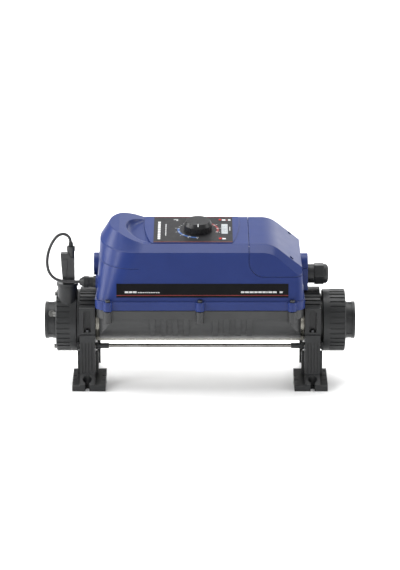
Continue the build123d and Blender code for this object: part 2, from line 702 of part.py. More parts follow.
def dial_potentiometer():
    body = panel_prism(Circle(8.5), board_top, -11) + panel_prism(Circle(3.9), -11, -1)
    return on_dial(body - panel_prism(Circle(3.05), -17.2, 5))


def control_board():
    """The circuit board under the panel, with its parts soldered on below."""
    board = panel_prism(Pos(-6, 0) * Rectangle(124, 84), -22, -20.4)
    soldered = ((-40, 20, 16, 12, 9), (-44, -16, 20, 18, 12), (18, -24, 14, 22, 10), (10, 22, 10, 10, 7))
    for x, y, width, depth, height in soldered:
        board = board + panel_prism(Pos(x, y) * Rectangle(width, depth), -22 - height, -22)
    return board


def board_standoffs():
    """Pillars from the cover's underside to the board."""
    places = [(x, y) for x in (-58, 50) for y in (-37, 37)]
    return Compound([panel_prism(Pos(*place) * Circle(3), board_top, -wall - 0.1) for place in places])


def display_module():
    return panel_prism(Pos(window_x, window_y) * Rectangle(14, 44), board_top, -4.1)


def front_label():
    """The long printed strip on the front wall."""
    skin = (cover_walls(strip_grow) & block(-129.5, 137, -100, 0, 151.5, 172.7)) - cover_walls(0)
    return skin.solids().sort_by(Axis.Y)[0]


# ---------------------------------------------------------------- inside the covers

def chassis_plate():
    plate = block(-148, 148, -60, 60, chassis_z, chassis_z + 1.5) - cyl_z(34, 0, 0, 100, 180)
    plate = plate - cyl_z(9, -100, 0, 100, 180) - cyl_z(9, 90, 0, 100, 180)
    for x, y in chassis_posts:
        plate = plate - cyl_z(2.1, x, y, 100, 180)
    return plate


def chassis_pillars():
    posts = []
    for x, y in chassis_posts:
        space = casing_body(-wall - 0.05, 40) + block(-150, 150, -60, 60, 110, chassis_z)
        post = cyl_z(4.5, x, y, 70, chassis_z) & space
        post = post + cyl_z(2.0, x, y, chassis_z - 0.5, chassis_z + 2)
        posts.append(post + cyl_z(3.8, x, y, chassis_z + 1.6, chassis_z + 4))
    return Compound(posts)


def power_relay():
    base = block(-140, -84, -26, 26, chassis_z + 1.6, chassis_z + 8)
    return base + block(-137, -87, -23, 23, chassis_z + 8, chassis_z + 30)


def terminal_block():
    body = block(92, 136, -28, 28, shelf_z + 0.1, shelf_z + 5)
    for y in (-22, -11, 0, 11, 22):
        body = body + block(97, 131, y - 4.6, y + 4.6, shelf_z + 5, shelf_z + 17)
        for x in (103, 125):
            body = body - cyl_z(2.6, x, y, shelf_z + 9, shelf_z + 20)
    return body


def terminal_screws():
    screws = []
    for y in (-22, -11, 0, 11, 22):
        for x in (103, 125):
            top = shelf_z + 14
            screws.append(cyl_z(2.4, x, y, shelf_z + 9, top) - Pos(x, y, top) * Box(6, 0.8, 1.6))
    return Compound(screws)


def overheat_cutout():
    """The cut-out that sits on the tube and trips if it runs hot."""
    body = block(-109, -91, -8, 8, pipe_z + 20, pipe_z + 41) - cyl_x(tube_r + 0.05, -200, 200)
    return body + cyl_z(6, -100, 0, pipe_z + 40, pipe_z + 45) - cyl_z(3.3, -100, 0, pipe_z + 36, pipe_z + 60)


def reset_button():
    return cyl_z(3.0, -100, 0, pipe_z + 38.5, pipe_z + 48)


def temperature_sensor():
    """The probe that reads the water, screwed into its pocket."""
    hexagon = Pos(90, 0, pipe_z + 39.1) * extrude(RegularPolygon(6.5, 6, major_radius=False), 5)
    stem = cyl_z(4.5, 90, 0, pipe_z + 4, pipe_z + 39.1)
    return stem + hexagon + cyl_z(2.5, 90, 0, pipe_z + 44, pipe_z + 50)


def internal_wires():
    """Four wires from the element's terminals to the relay."""
    wires = []
    relay_top = chassis_z + 30
    runs = ((9, 5, -112, 190), (9, -12, -98, 183), (-9, 12, -112, 190), (-9, -5, -98, 183))
    for y, start, end, over in runs:
        path = FilletPolyline(
            (start, y, seat_z + 24.1), (start, y, over), (end, y, over), (end, y, relay_top + 0.1), radius=6
        )
        wires.append(sweep(Plane(origin=path @ 0, z_dir=path % 0) * Circle(1.5), path=path))
    return Compound(wires)


# ---------------------------------------------------------------- flow switch and its cable

def flow_switch_body():
    """The stem in the collar's port, with a fork at its foot and a flange on top."""
    stem = cyl_z(11.1, port_x, port_y, 116, port_top)
    stem = stem + cyl_z(17.0, port_x, port_y, port_top + 0.6, port_top + 5)
    stem = stem + cyl_z(11.1, port_x, port_y, port_top - 1, port_top + 1)
    for side in (-1, 1):
        y = sorted((port_y + side * 5.2, port_y + side * 8.2))
        stem = stem + block(port_x - 4, port_x + 4, y[0], y[1], 107, 117)
    return stem - Pos(port_x, port_y, pivot_z) * Rot(90, 0, 0) * Cylinder(1.0, 30)


def flow_switch_seal():
    ring = cyl_z(15, port_x, port_y, port_top + 0.05, port_top + 0.55)
    return ring - cyl_z(11.3, port_x, port_y, port_top - 1, port_top + 2)


def paddle_pin():
    return Pos(port_x, port_y, pivot_z) * Rot(90, 0, 0) * Cylinder(0.97, 16.4)


def flow_paddle():
    """The paddle that hangs in the water, with its hub on the pin."""
    hub = Pos(port_x, port_y, pivot_z) * Rot(90, 0, 0) * Cylinder(2.6, 9.6)
    plate = block(port_x - 0.7, port_x + 0.7, port_y - 4.6, port_y + 4.6, 84, pivot_z)
    return hub + plate - Pos(port_x, port_y, pivot_z) * Rot(90, 0, 0) * Cylinder(1.03, 30)


def flow_switch_plug():
    """The plug on the switch: an upright socket with a latch block beside it."""
    body = cyl_z(5.6, plug_x, port_y, plug_low, plug_top) + cyl_z(6.6, plug_x, port_y, plug_top - 7, plug_top)
    side = [(-215.4, plug_low), (plug_x + 5, plug_low), (plug_x + 5.4, 200), (plug_x, 203), (plug_x - 4, 209)]
    side += [(-218.2, 209), (-217.4, 190)]
    body = body + Pos(0, port_y + 6.5, 0) * extrude(Plane.XZ * make_face(Polyline(*side, close=True)), 13)
    body = body + block(-216, -209, port_y - 8, port_y + 8, 172, 184)
    body = body + block(-216.5, -208, port_y - 7.4, port_y, 184, 200)
    mouth = cyl_z(5.2, plug_x, port_y, plug_top - 2.5, plug_top + 1) - cyl_z(3.6, plug_x, port_y, 200, 230)
    return body - mouth


def bend_radii(points):
    """The arc at each point of the route: as large as its two runs allow."""
    places = [Vector(*p) for p in points]
    radii = []
    for a, b, c in zip(places, places[1:], places[2:]):
        turn = radians((b - a).get_angle(c - b))
        radii.append(0.45 * min((b - a).length, (c - b).length) / tan(turn / 2))
    return radii


def flow_switch_cable():
    path = FilletPolyline(*cable_points, radius=bend_radii(cable_points))
    return sweep(Plane(origin=path @ 0, z_dir=path % 0) * Circle(cable_r), path=path)


def small_gland():
    """Body, dome nut and lock nut of the small gland on the left wall."""
    y, z = small_gland_y, small_gland_z
    body = cyl_x(9.5, small_seat - 3.6, small_seat, y, z) + hex_x(15, small_hex_x, small_seat - 3.6, y, z)
    body = body + cyl_x(5.1, small_seat, -153, y, z)
    dome = Pos(small_nut_x, y, z) * Rot(0, -90, 0) * Solid.make_cone(8.4, 4.6, 6.9)
    nut = hex_x(17, small_nut_x, small_hex_x - 0.2, y, z) + dome
    lock = hex_x(15, -156.6, -153.4, y, z) - cyl_x(5.15, -170, -150, y, z)
    return body, nut, lock


def mains_gland():
    """Body, seal, dome nut and lock nut of the mains gland on the right wall."""
    z = gland_z
    body = cyl_x(15, boss_face + 0.1, 180, 0, z) + cyl_x(13, 180, 192, 0, z)
    body = body + cyl_x(8.9, 152, boss_face + 0.2, 0, z)
    body = body - cyl_x(9.5, 172, 193, 0, z) - cyl_x(7.2, 150, 175, 0, z)
    seal = ring_x(9.2, 6.8, 186, 198, 0, z)
    nut = hex_x(31, 180.3, 195, 0, z) & cyl_x(17.4, 180.3, 195, 0, z)
    dome = cyl_x(15.4, 194, 202.5, 0, z)
    nut = nut + fillet(dome.edges().filter_by(GeomType.CIRCLE).sort_by(Axis.X)[-1], 6.0)
    nut = nut - cyl_x(13.4, 179, 192.6, 0, z) - cyl_x(9.5, 180, 198.3, 0, z) - cyl_x(8.4, 190, 204, 0, z)
    lock = hex_x(24, 152.4, 156.2, 0, z) - cyl_x(8.95, 150, 170, 0, z)
    return body, seal, nut, lock


# ---------------------------------------------------------------- all pieces

def build():
    main, service = covers()
    save("main_cover", main)
    save("terminal_cover", service)
    save("lower_casing", lower_casing())
    save("cover_gasket", cover_gasket())
    save("cover_screws", cover_screws())
    save("terminal_cover_screws", service_screws())
    save("flow_tube", tube())
    save("tube_seals", tube_seals())
    save("heating_element", heating_element())
    save("element_flange", element_flange())
    save("element_screws", element_screws())
    save("element_terminals", element_terminals())
    save("temperature_sensor", temperature_sensor())
    save("overheat_cutout", overheat_cutout())
    save("reset_button", reset_button())
    band_right, foot_right = clamp_band(), foot()
    save("right_clamp_band", band_right)
    save("left_clamp_band", mirrored(band_right))
    save("right_foot", foot_right)
    save("left_foot", mirrored(foot_right))
    save("clamp_screws", clamp_screws())
    save("tie_rods", tie_rods())
    save("tie_rod_nuts", rod_nuts())
    save("outlet_adaptor", end_adaptor())
    save("outlet_union_seal", union_seal())
    save("outlet_tail", outlet_tail())
    save("outlet_union_nut", union_nut())
    save("inlet_adaptor", inlet_adaptor())
    save("inlet_collar", inlet_collar())
    save("inlet_collar_screws", collar_screws())
    save("inlet_tail", inlet_tail())
    save("inlet_tail_plug", tail_plug())
    save("control_label", control_label())
    save("display_window", display_window())
    save("display_module", display_module())
    save("indicator_lamps", indicator_lamps())
    save("dial_knob", dial_knob())
    save("dial_shaft", dial_shaft())
    save("dial_potentiometer", dial_potentiometer())
    save("control_board", control_board())
    save("board_standoffs", board_standoffs())
    save("front_label", front_label())
    save("chassis_plate", chassis_plate())
    save("chassis_pillars", chassis_pillars())
    save("power_relay", power_relay())
    save("terminal_block", terminal_block())
    save("terminal_screws", terminal_screws())
    save("internal_wires", internal_wires())
    save("flow_switch_body", flow_switch_body())
    save("flow_switch_seal", flow_switch_seal())
    save("paddle_pin", paddle_pin())
    save("flow_paddle", flow_paddle())
    save("flow_switch_plug", flow_switch_plug())
    save("flow_switch_cable", flow_switch_cable())
    for name, shape in zip(("small_gland_body", "small_gland_nut", "small_gland_locknut"), small_gland()):
        save(name, shape)
    names = ("mains_gland_body", "mains_gland_seal", "mains_gland_nut", "mains_gland_locknut")
    for name, shape in zip(names, mains_gland()):
        save(name, shape)


build()
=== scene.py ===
import bpy
import json
from math import atan2, cos, pi, radians, sin
from mathutils import Matrix, Vector


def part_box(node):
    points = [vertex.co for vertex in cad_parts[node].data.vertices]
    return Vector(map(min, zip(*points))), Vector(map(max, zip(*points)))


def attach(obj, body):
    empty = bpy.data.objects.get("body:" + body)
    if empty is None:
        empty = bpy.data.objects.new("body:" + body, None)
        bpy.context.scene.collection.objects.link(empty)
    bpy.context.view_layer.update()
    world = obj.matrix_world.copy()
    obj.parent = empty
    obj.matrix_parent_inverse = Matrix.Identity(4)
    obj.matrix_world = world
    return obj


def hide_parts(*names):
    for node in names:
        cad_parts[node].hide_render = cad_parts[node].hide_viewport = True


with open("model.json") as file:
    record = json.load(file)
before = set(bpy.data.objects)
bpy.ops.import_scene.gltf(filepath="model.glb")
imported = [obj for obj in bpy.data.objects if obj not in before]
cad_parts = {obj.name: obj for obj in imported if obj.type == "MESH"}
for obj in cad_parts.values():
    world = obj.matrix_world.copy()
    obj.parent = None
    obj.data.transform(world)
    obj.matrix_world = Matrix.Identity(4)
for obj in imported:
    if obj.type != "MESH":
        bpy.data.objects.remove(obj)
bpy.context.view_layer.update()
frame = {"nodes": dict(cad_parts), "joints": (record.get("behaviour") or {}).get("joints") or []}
nodes = frame["nodes"]
mm = 0.001


# camera, floor and lights

view = {"aim": (0, 0, 0.151), "distance": 3.6, "elevation": 15, "lens": 143.7, "farthest": 60}
sky = {"colour": (1, 1, 1, 1), "strength": 0.42}
floorLook = {"size": 16, "colour": (0.97, 0.97, 0.97)}
lights = [
    {"name": "overhead", "place": (-0.1, 0.35, 1.9), "size": (2.6, 1.2), "power": 34},
    {"name": "backWall", "place": (0.7, 2.4, 0.9), "size": (3.0, 1.2), "power": 20},
    {"name": "rightSide", "place": (1.9, -0.2, 0.9), "size": (0.8, 1.2), "power": 11},
    {"name": "leftStrip", "place": (-1.7, -0.95, 1.15), "size": (0.36, 1.3), "power": 18},
    {"name": "leftSide", "place": (-2.0, 0.2, 0.9), "size": (0.9, 1.2), "power": 26},
    {"name": "frontFill", "place": (0.5, -2.6, 0.9), "size": (1.6, 0.8), "power": 5},
    {"name": "farFloor", "place": (0.0, 6.5, 5.0), "size": (9.0, 5.0), "power": 900, "target": (0, 6.0, 0),
     "hidden": True},  # hidden: it lights the floor and leaves no reflection on the panel
]
lightTarget = (0, 0, 0.14)


def aimAt(place, target):
    return (Vector(target) - Vector(place)).to_track_quat("-Z", "Y").to_euler()


def addCamera():
    rise = radians(view["elevation"])
    place = Vector(view["aim"]) + view["distance"] * Vector((0, -cos(rise), sin(rise)))
    bpy.ops.object.camera_add(location=place, rotation=aimAt(place, view["aim"]))
    camera = bpy.context.active_object
    camera.data.lens = view["lens"]
    camera.data.clip_end = view["farthest"]
    bpy.context.scene.camera = camera


def addLights():
    for light in lights:
        turn = aimAt(light["place"], light.get("target", lightTarget))
        bpy.ops.object.light_add(type="AREA", location=light["place"], rotation=turn)
        lamp = bpy.context.active_object
        lamp.name = light["name"]
        lamp.data.shape = "RECTANGLE"
        lamp.data.size, lamp.data.size_y = light["size"]
        lamp.data.energy = light["power"]
        lamp.visible_camera = False
        lamp.visible_glossy = not light.get("hidden", False)
    world = bpy.data.worlds.new("studio")
    bpy.context.scene.world = world
    world.use_nodes = True
    background = world.node_tree.nodes["Background"]
    background.inputs["Color"].default_value = sky["colour"]
    background.inputs["Strength"].default_value = sky["strength"]
    bpy.context.scene.view_settings.view_transform = "Standard"


addCamera()
addLights()
print("camera and lights in place")


# finishes: one dictionary each, turned into nodes by makeFinish

finishes = {
    "blueMoulding": {"colour": (0.014, 0.031, 0.150), "shade": (0.012, 0.027, 0.134), "patch": 14,
                     "rough": (0.28, 0.36), "grain": 1900, "depth": 0.004, "dust": (0.05, 0.065, 0.12),
                     "gloss": 0.27, "edge": 1.6},
    "greyMoulding": {"colour": (0.034, 0.035, 0.036), "shade": (0.025, 0.026, 0.027), "patch": 18,
                     "rough": (0.36, 0.48), "grain": 1500, "depth": 0.012, "dust": (0.09, 0.09, 0.088),
                     "gloss": 0.5, "edge": 1.2},
    "blackMoulding": {"colour": (0.014, 0.015, 0.016), "shade": (0.008, 0.009, 0.010), "patch": 30,
                      "rough": (0.34, 0.48), "grain": 1300, "depth": 0.014, "dust": (0.06, 0.06, 0.058),
                      "gloss": 0.42, "edge": 0.9},
    "plugMoulding": {"colour": (0.026, 0.027, 0.028), "shade": (0.017, 0.018, 0.019), "patch": 60,
                     "rough": (0.34, 0.48), "grain": 1700, "depth": 0.012, "gloss": 0.5, "edge": 0.8},
    "boltDark": {"colour": (0.085, 0.088, 0.092), "shade": (0.05, 0.05, 0.054), "patch": 180, "metal": 1,
                 "rough": (0.34, 0.50), "grain": 1500, "depth": 0.010},
    "boltZinc": {"colour": (0.26, 0.26, 0.25), "shade": (0.17, 0.17, 0.165), "patch": 180, "metal": 1,
                 "rough": (0.32, 0.50), "grain": 1500, "depth": 0.010},
    "knobMoulding": {"colour": (0.014, 0.014, 0.016), "shade": (0.010, 0.010, 0.011), "patch": 90,
                     "rough": (0.30, 0.42), "grain": 2400, "depth": 0.006, "gloss": 0.35, "edge": 0.9},
    "overlayFilm": {"colour": (0.012, 0.012, 0.014), "shade": (0.009, 0.009, 0.010), "patch": 50,
                    "rough": (0.42, 0.52), "grain": 3200, "depth": 0.004, "gloss": 0.3},
    "stripFilm": {"colour": (0.005, 0.005, 0.006), "shade": (0.003, 0.003, 0.004), "patch": 40,
                  "rough": (0.30, 0.40), "grain": 3000, "depth": 0.002, "gloss": 0.12},
    "tubeMetal": {"colour": (0.34, 0.33, 0.29), "shade": (0.24, 0.23, 0.20), "patch": 25, "metal": 1,
                  "rough": (0.22, 0.36), "grain": 900, "depth": 0.006, "brush": (6.0, 0.12, 0.12)},
    "rodSteel": {"colour": (0.36, 0.35, 0.33), "shade": (0.26, 0.25, 0.23), "patch": 40, "metal": 1,
                 "rough": (0.18, 0.30), "grain": 1200, "depth": 0.005, "brush": (0.1, 2.0, 2.0)},
    "screwSteel": {"colour": (0.74, 0.73, 0.70), "shade": (0.55, 0.54, 0.51), "patch": 220, "metal": 1,
                   "rough": (0.16, 0.34), "grain": 2200, "depth": 0.006},
    "plateSteel": {"colour": (0.50, 0.51, 0.50), "shade": (0.36, 0.37, 0.36), "patch": 60, "metal": 1,
                   "rough": (0.30, 0.50), "grain": 500, "depth": 0.006},
    "elementMetal": {"colour": (0.30, 0.28, 0.26), "shade": (0.20, 0.17, 0.15), "patch": 80, "metal": 1,
                     "rough": (0.40, 0.60), "grain": 700, "depth": 0.010},
    "sealRubber": {"colour": (0.020, 0.020, 0.021), "shade": (0.013, 0.013, 0.014), "patch": 70,
                   "rough": (0.60, 0.78), "grain": 1400, "depth": 0.010},
    "cableSheath": {"colour": (0.026, 0.026, 0.028), "shade": (0.017, 0.017, 0.018), "patch": 90,
                    "rough": (0.38, 0.50), "grain": 1600, "depth": 0.006},
    "displayGlass": {"colour": (0.50, 0.53, 0.54), "shade": (0.42, 0.45, 0.47), "patch": 70,
                     "rough": (0.10, 0.16), "grain": 900, "depth": 0.001, "coat": 0.6},
    "lampRed": {"colour": (0.62, 0.020, 0.014), "shade": (0.44, 0.012, 0.010), "patch": 400,
                "rough": (0.12, 0.22), "grain": 900, "depth": 0.002, "coat": 0.8},
    "boardGreen": {"colour": (0.020, 0.105, 0.040), "shade": (0.012, 0.070, 0.028), "patch": 260,
                   "rough": (0.30, 0.45), "grain": 900, "depth": 0.010},
    "moduleBlack": {"colour": (0.030, 0.030, 0.032), "shade": (0.020, 0.020, 0.022), "patch": 110,
                    "rough": (0.40, 0.55), "grain": 1500, "depth": 0.010},
    "blockWhite": {"colour": (0.70, 0.68, 0.61), "shade": (0.60, 0.58, 0.52), "patch": 80,
                   "rough": (0.38, 0.52), "grain": 1300, "depth": 0.008},
    "wireBrown": {"colour": (0.26, 0.085, 0.035), "shade": (0.19, 0.060, 0.024), "patch": 160,
                  "rough": (0.34, 0.46), "grain": 1600, "depth": 0.004},
    "whiteInk": {"colour": (0.62, 0.63, 0.63), "shade": (0.52, 0.53, 0.53), "patch": 500,
                 "rough": (0.45, 0.60), "grain": 2600, "depth": 0.004},
    "redInk": {"colour": (0.26, 0.022, 0.022), "shade": (0.20, 0.016, 0.016), "patch": 500,
               "rough": (0.42, 0.58), "grain": 2600, "depth": 0.004},
    "blueInk": {"colour": (0.030, 0.100, 0.300), "shade": (0.022, 0.078, 0.240), "patch": 500,
                "rough": (0.42, 0.58), "grain": 2600, "depth": 0.004},
    "greyInk": {"colour": (0.20, 0.21, 0.22), "shade": (0.15, 0.16, 0.17), "patch": 500,
                "rough": (0.42, 0.58), "grain": 2600, "depth": 0.004},
    "studioFloor": {"colour": floorLook["colour"], "shade": (0.95, 0.95, 0.95), "patch": 3,
                    "rough": (0.70, 0.80), "grain": 300, "depth": 0.001},
}


smearShare = 2.6  # smears are this much finer than the colour patches


def addNode(tree, kind, x, y, **values):
    node = tree.nodes.new(kind)
    node.location = (x, y)
    for name, value in values.items():
        node.inputs[name].default_value = value
    return node


def colourRamp(tree, x, y, low, high, start, end):
    ramp = addNode(tree, "ShaderNodeValToRGB", x, y)
    ramp.color_ramp.elements[0].position = start
    ramp.color_ramp.elements[0].color = (*low, 1)
    ramp.color_ramp.elements[1].position = end
    ramp.color_ramp.elements[1].color = (*high, 1)
    return ramp


def setRange(node, *values):
    for socket, value in zip(("From Min", "From Max", "To Min", "To Max"), values):
        node.inputs[socket].default_value = value


def makeFinish(name):
    look = finishes[name]
    material = bpy.data.materials.new(name)
    material.use_nodes = True
    tree = material.node_tree
    link = tree.links.new
    shader = tree.nodes["Principled BSDF"]
    place = addNode(tree, "ShaderNodeTexCoord", -1200, 0)
    stretch = addNode(tree, "ShaderNodeMapping", -1020, 0, Scale=look.get("brush", (1, 1, 1)))
    link(place.outputs["Object"], stretch.inputs["Vector"])

    patches = addNode(tree, "ShaderNodeTexNoise", -820, 260, Scale=look["patch"], Detail=5.0, Roughness=0.6)
    link(place.outputs["Object"], patches.inputs["Vector"])
    tone = colourRamp(tree, -600, 260, look["shade"], look["colour"], 0.32, 0.62)
    link(patches.outputs["Fac"], tone.inputs["Fac"])
    colour = tone.outputs["Color"]

    grain = addNode(tree, "ShaderNodeTexNoise", -820, -260, Scale=look["grain"], Detail=3.0, Roughness=0.55)
    link(stretch.outputs["Vector"], grain.inputs["Vector"])

    if "dust" in look:  # a little dry dust where the surface faces up, in cloudy patches
        facing = addNode(tree, "ShaderNodeNewGeometry", -1020, 620)
        upward = addNode(tree, "ShaderNodeSeparateXYZ", -820, 620)
        link(facing.outputs["Normal"], upward.inputs["Vector"])
        film = addNode(tree, "ShaderNodeMapRange", -600, 620)
        setRange(film, 0.2, 1.0, 0.0, 0.34)
        link(upward.outputs["Z"], film.inputs["Value"])
        cloud = addNode(tree, "ShaderNodeTexNoise", -820, 440, Scale=45, Detail=8.0, Roughness=0.7)
        link(place.outputs["Object"], cloud.inputs["Vector"])
        amount = addNode(tree, "ShaderNodeMath", -420, 560)
        amount.operation = "MULTIPLY"
        link(film.outputs["Result"], amount.inputs[0])
        link(cloud.outputs["Fac"], amount.inputs[1])
        dusty = addNode(tree, "ShaderNodeMix", -220, 360)
        dusty.data_type = "RGBA"
        link(amount.outputs["Value"], dusty.inputs["Factor"])
        link(colour, dusty.inputs["A"])
        dusty.inputs["B"].default_value = (*look["dust"], 1)
        colour = dusty.outputs["Result"]
    link(colour, shader.inputs["Base Color"])

    polish = addNode(tree, "ShaderNodeMapRange", -420, 20)
    setRange(polish, 0.3, 0.7, *look["rough"])
    smears = addNode(tree, "ShaderNodeTexNoise", -820, 20, Scale=look["patch"] * smearShare, Detail=6.0,
                     Roughness=0.65)
    link(stretch.outputs["Vector"], smears.inputs["Vector"])
    link(smears.outputs["Fac"], polish.inputs["Value"])
    link(polish.outputs["Result"], shader.inputs["Roughness"])

    bump = addNode(tree, "ShaderNodeBump", -220, -260, Strength=0.5, Distance=look["depth"] * mm)
    link(grain.outputs["Fac"], bump.inputs["Height"])
    link(bump.outputs["Normal"], shader.inputs["Normal"])
    if "edge" in look:  # moulded edges are a little round and catch the light
        roundEdge = addNode(tree, "ShaderNodeBevel", -420, -420, Radius=look["edge"] * mm)
        roundEdge.samples = 6
        link(roundEdge.outputs["Normal"], bump.inputs["Normal"])
    shader.inputs["Metallic"].default_value = look.get("metal", 0)
    shader.inputs["Coat Weight"].default_value = look.get("coat", 0)
    shader.inputs["Specular IOR Level"].default_value = look.get("gloss", 0.5)
    return material


materials = {name: makeFinish(name) for name in finishes}

nodeFinish = {
    "blueMoulding": ["main_cover", "terminal_cover"],
    "greyMoulding": ["lower_casing"],
    "blackMoulding": ["right_clamp_band", "left_clamp_band", "right_foot", "left_foot", "outlet_adaptor",
                      "outlet_tail", "outlet_union_nut", "inlet_adaptor", "inlet_collar", "inlet_tail",
                      "tie_rod_nuts", "flow_switch_body", "board_standoffs", "small_gland_body",
                      "small_gland_nut", "small_gland_locknut", "mains_gland_body", "mains_gland_nut",
                      "mains_gland_locknut"],
    "plugMoulding": ["flow_switch_plug"],
    "knobMoulding": ["dial_knob"],
    "overlayFilm": ["control_label"],
    "stripFilm": ["front_label"],
    "tubeMetal": ["flow_tube"],
    "rodSteel": ["tie_rods"],
    "boltZinc": ["inlet_collar_screws", "inlet_tail_plug"],
    "boltDark": ["cover_screws", "clamp_screws"],
    "screwSteel": ["element_screws", "element_terminals", "terminal_screws", "paddle_pin", "dial_shaft",
                   "temperature_sensor"],
    "plateSteel": ["chassis_plate", "chassis_pillars", "element_flange"],
    "elementMetal": ["heating_element", "terminal_cover_screws"],
    "sealRubber": ["cover_gasket", "tube_seals", "outlet_union_seal", "flow_switch_seal", "mains_gland_seal"],
    "cableSheath": ["flow_switch_cable"],
    "displayGlass": ["display_window"],
    "lampRed": ["indicator_lamps", "reset_button"],
    "boardGreen": ["control_board"],
    "moduleBlack": ["display_module", "dial_potentiometer", "power_relay", "overheat_cutout", "flow_paddle"],
    "blockWhite": ["terminal_block"],
    "wireBrown": ["internal_wires"],
}


def setFinish(piece, name):
    piece.data.materials.clear()
    piece.data.materials.append(materials[name])


for finish, members in nodeFinish.items():
    for member in members:
        setFinish(nodes[member], finish)
print("finishes set on", sum(len(members) for members in nodeFinish.values()), "parts")


def addFloor():
    bpy.ops.mesh.primitive_plane_add(size=floorLook["size"], location=(0, 0, 0))
    floor = bpy.context.active_object
    floor.name = "studioFloor"
    setFinish(floor, "studioFloor")


addFloor()


# the flow switch's cable, from its plug round to the small gland

cable = {
    "diameter": 0.0048,
    "length": 0.150,
    "route": [
        (-0.2023, -0.0200, 0.2190), (-0.2023, -0.0200, 0.2290), (-0.2065, -0.0204, 0.2369),
        (-0.2150, -0.0212, 0.2400), (-0.2233, -0.0224, 0.2366), (-0.2313, -0.0242, 0.2264),
        (-0.2375, -0.0264, 0.2115), (-0.2398, -0.0286, 0.1956), (-0.2373, -0.0310, 0.1810),
        (-0.2290, -0.0332, 0.1706), (-0.2160, -0.0344, 0.1664), (-0.2020, -0.0345, 0.1653),
        (-0.1890, -0.0340, 0.1656),
    ],
}


def addCable():
    bpy.ops.curve.primitive_nurbs_path_add()
    piece = bpy.context.active_object
    piece.name = "flowSwitchCable"
    curve = piece.data
    curve.splines.clear()
    spline = curve.splines.new("NURBS")
    spline.points.add(len(cable["route"]) - 1)
    for point, place in zip(spline.points, cable["route"]):
        point.co = (*place, 1)
    spline.order_u = 3
    spline.use_endpoint_u = True
    curve.dimensions = "3D"
    curve.resolution_u = 16
    curve.bevel_depth = cable["diameter"] / 2
    curve.bevel_resolution = 6
    curve.use_fill_caps = True
    setFinish(piece, "cableSheath")
    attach(piece, "heater")
    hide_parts("flow_switch_cable")
    return piece


cablePiece = addCable()
print("cable laid")


# helpers for new pieces

def deselectAll():
    if bpy.context.object and bpy.context.object.mode != "OBJECT":
        bpy.ops.object.mode_set(mode="OBJECT")
    bpy.ops.object.select_all(action="DESELECT")


def joinPieces(pieces, name):
    deselectAll()
    for piece in pieces:
        piece.select_set(True)
    bpy.context.view_layer.objects.active = pieces[0]
    bpy.ops.object.join()
    joined = bpy.context.active_object
    joined.name = name
    return joined


def bakePlace(piece):
    deselectAll()
    piece.select_set(True)
    bpy.context.view_layer.objects.active = piece
    bpy.ops.object.transform_apply(location=True, rotation=True, scale=True)


def flatBar(x, y, wide, high, turn=0):
    deselectAll()
    bpy.ops.mesh.primitive_plane_add(size=1, location=(x * mm, y * mm, 0), rotation=(0, 0, turn))
    bar = bpy.context.active_object
    bar.scale = (wide * mm, high * mm, 1)
    bakePlace(bar)
    return bar


def arcBand(x, y, radius, wide, start, end):
    deselectAll()
    middle = (x * mm, y * mm, 0)
    outward = Vector((cos(radians(start)), sin(radians(start)), 0)) * mm
    steps = max(6, int(abs(end - start) / 4))
    bpy.ops.mesh.primitive_plane_add(size=1, location=middle)
    band = bpy.context.active_object
    bpy.ops.object.mode_set(mode="EDIT")
    bpy.ops.mesh.select_all(action="SELECT")
    bpy.ops.mesh.merge(type="CENTER")
    bpy.ops.transform.translate(value=outward * (radius - wide / 2))
    bpy.ops.mesh.extrude_region_move(TRANSFORM_OT_translate={"value": outward * wide})
    bpy.ops.mesh.select_all(action="SELECT")
    bpy.ops.mesh.spin(steps=steps, angle=-radians(end - start), center=middle, axis=(0, 0, 1))
    bpy.ops.object.mode_set(mode="OBJECT")
    bakePlace(band)
    return band


def numeral(words, x, y, size, turn):
    deselectAll()
    bpy.ops.object.text_add(location=(x * mm, y * mm, 0), rotation=(0, 0, turn))
    text = bpy.context.active_object
    text.data.body = words
    text.data.size = size * mm
    text.data.align_x = "CENTER"
    text.data.align_y = "CENTER"
    text.data.resolution_u = 3
    bpy.ops.object.convert(target="MESH")
    piece = bpy.context.active_object
    bakePlace(piece)
    return piece


inkThickness = 0.00006
mergeGap = 0.000005


def finishPrint(pieces, name, finish, place, body="heater"):
    ink = joinPieces(pieces, name)
    bpy.ops.object.mode_set(mode="EDIT")
    bpy.ops.mesh.select_all(action="SELECT")
    bpy.ops.mesh.remove_doubles(threshold=mergeGap)
    bpy.ops.mesh.normals_make_consistent(inside=False)
    bpy.ops.object.mode_set(mode="OBJECT")
    if ink.data.polygons[0].normal.z < 0:
        ink.data.flip_normals()
    thick = ink.modifiers.new("inkFilm", "SOLIDIFY")
    thick.thickness = inkThickness
    thick.offset = 1
    bpy.ops.object.modifier_apply(modifier="inkFilm")
    ink.data.transform(place)
    setFinish(ink, finish)
    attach(ink, body)
    return ink


# print on the control panel

panel = {"tilt": radians(10), "middle": (0, 0, 0.2403), "face": 0.00141}  # face: the overlay's top
labelLow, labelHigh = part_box("control_label")
labelHalf = (labelHigh.y - labelLow.y) / (2 * cos(panel["tilt"])) / mm
labelPlate = {"left": labelLow.x / mm, "right": labelHigh.x / mm, "half": labelHalf}
dialJoint = [joint for joint in frame["joints"] if joint["name"] == "dial_turn"][0]
panelMid = Vector(panel["middle"])
panelTurn = Matrix.Rotation(panel["tilt"], 4, "X")
dialFlat = panelTurn.to_3x3().inverted() @ (Vector(dialJoint["pos_m"]) - panelMid) / mm
panelPlace = Matrix.Translation(panelMid) @ panelTurn @ Matrix.Translation((0, 0, panel["face"]))
overInk = Matrix.Translation((0, 0, inkThickness))  # white lies over the coloured bands

